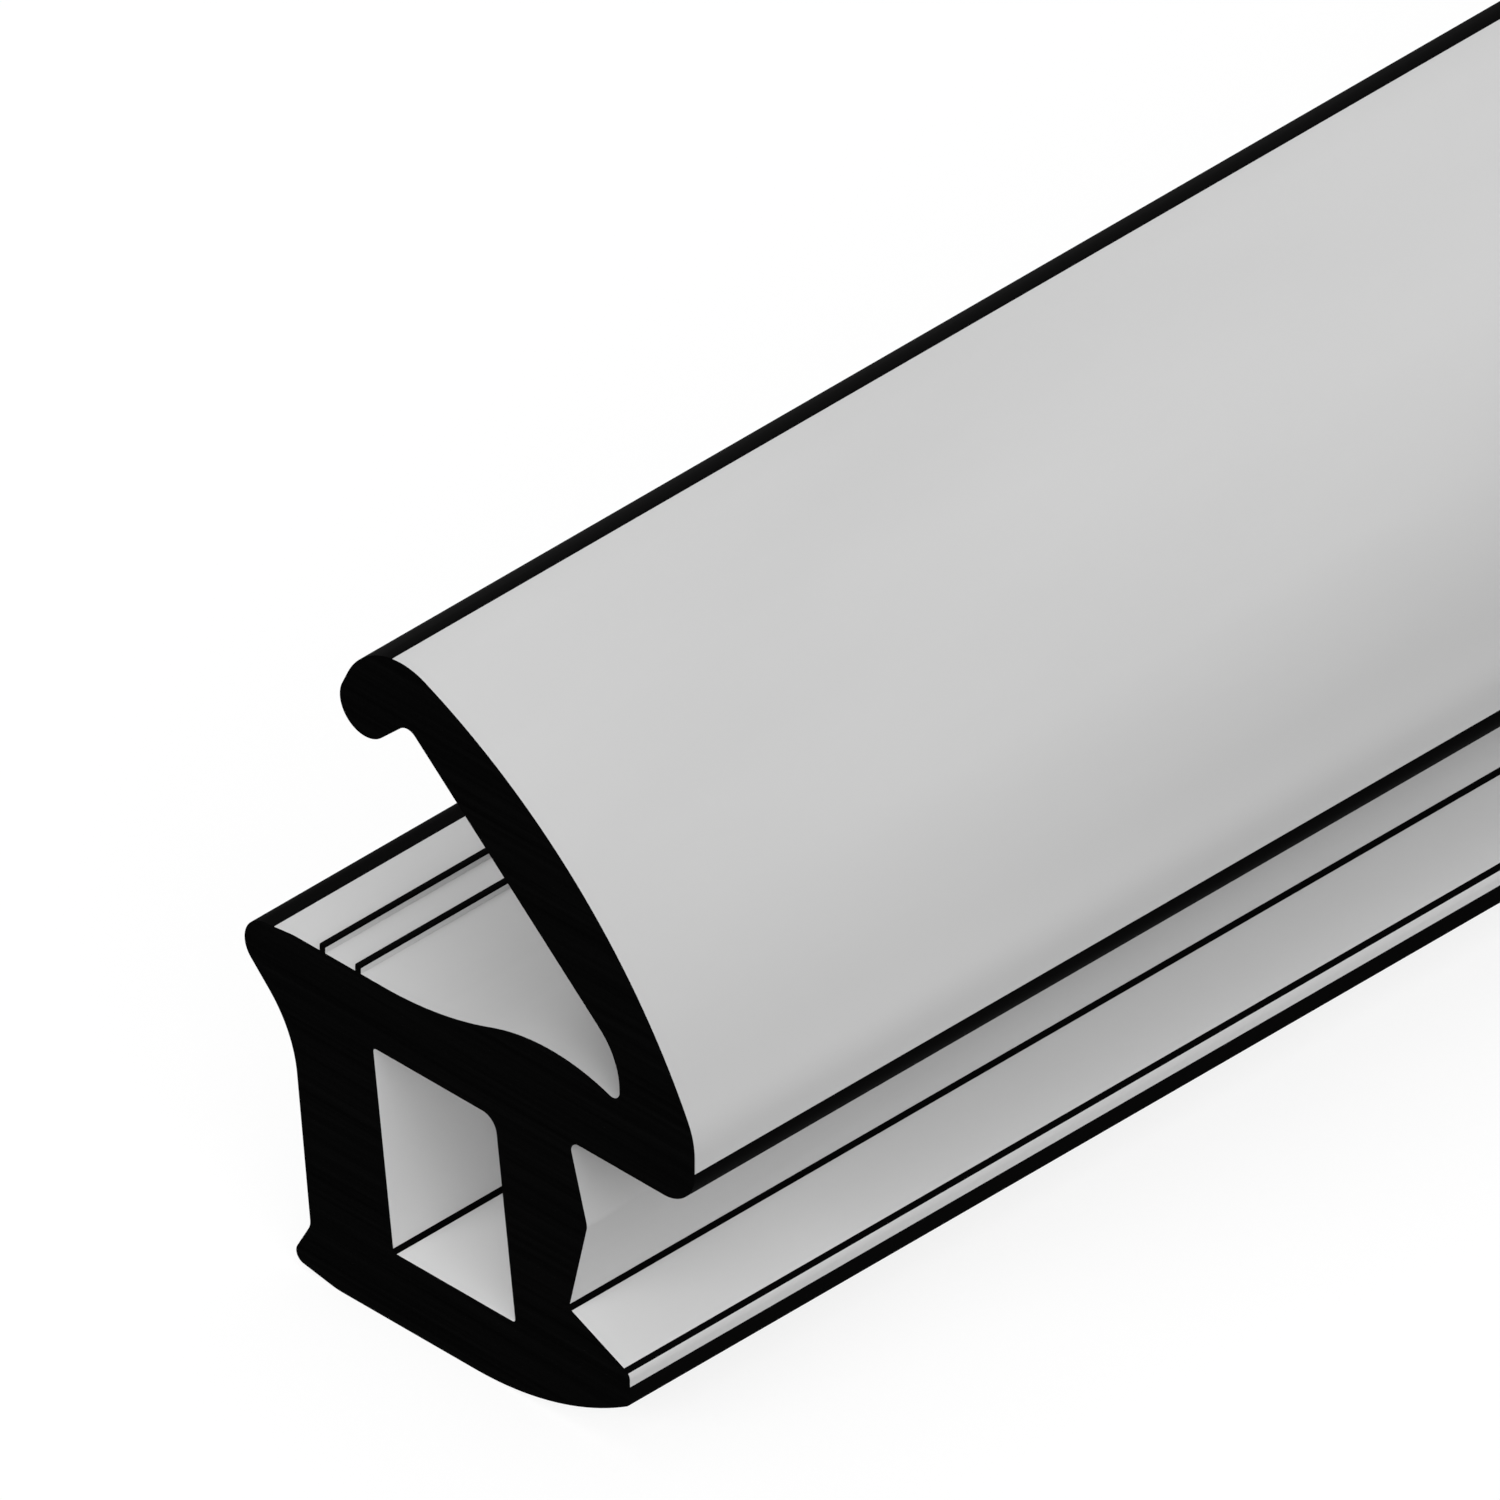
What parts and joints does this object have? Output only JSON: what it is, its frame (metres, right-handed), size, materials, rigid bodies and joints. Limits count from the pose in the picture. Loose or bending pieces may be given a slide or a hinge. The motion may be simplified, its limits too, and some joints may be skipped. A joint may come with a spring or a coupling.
{
  "type": "door frame seal",
  "caption": "Extruded elastomer door frame seal with a hollow barbed push-in foot, a covering shoulder and a curved sealing lip ending in a bead.",
  "frame": {"origin": "middle of the section's overall width and of the length, at the level of the foot's flat base", "axes": "+Y along the stock, +X across the section towards the right barb and the lip's root, +Z from the foot towards the lip"},
  "size_m": [0.014, 1, 0.0179],
  "materials": {
    "elastomer": "matt light grey skin with black edge stripes and a black sawn face"
  },
  "bodies": {
    "root": {"seal_profile": "elastomer"}
  },
  "joints": []
}
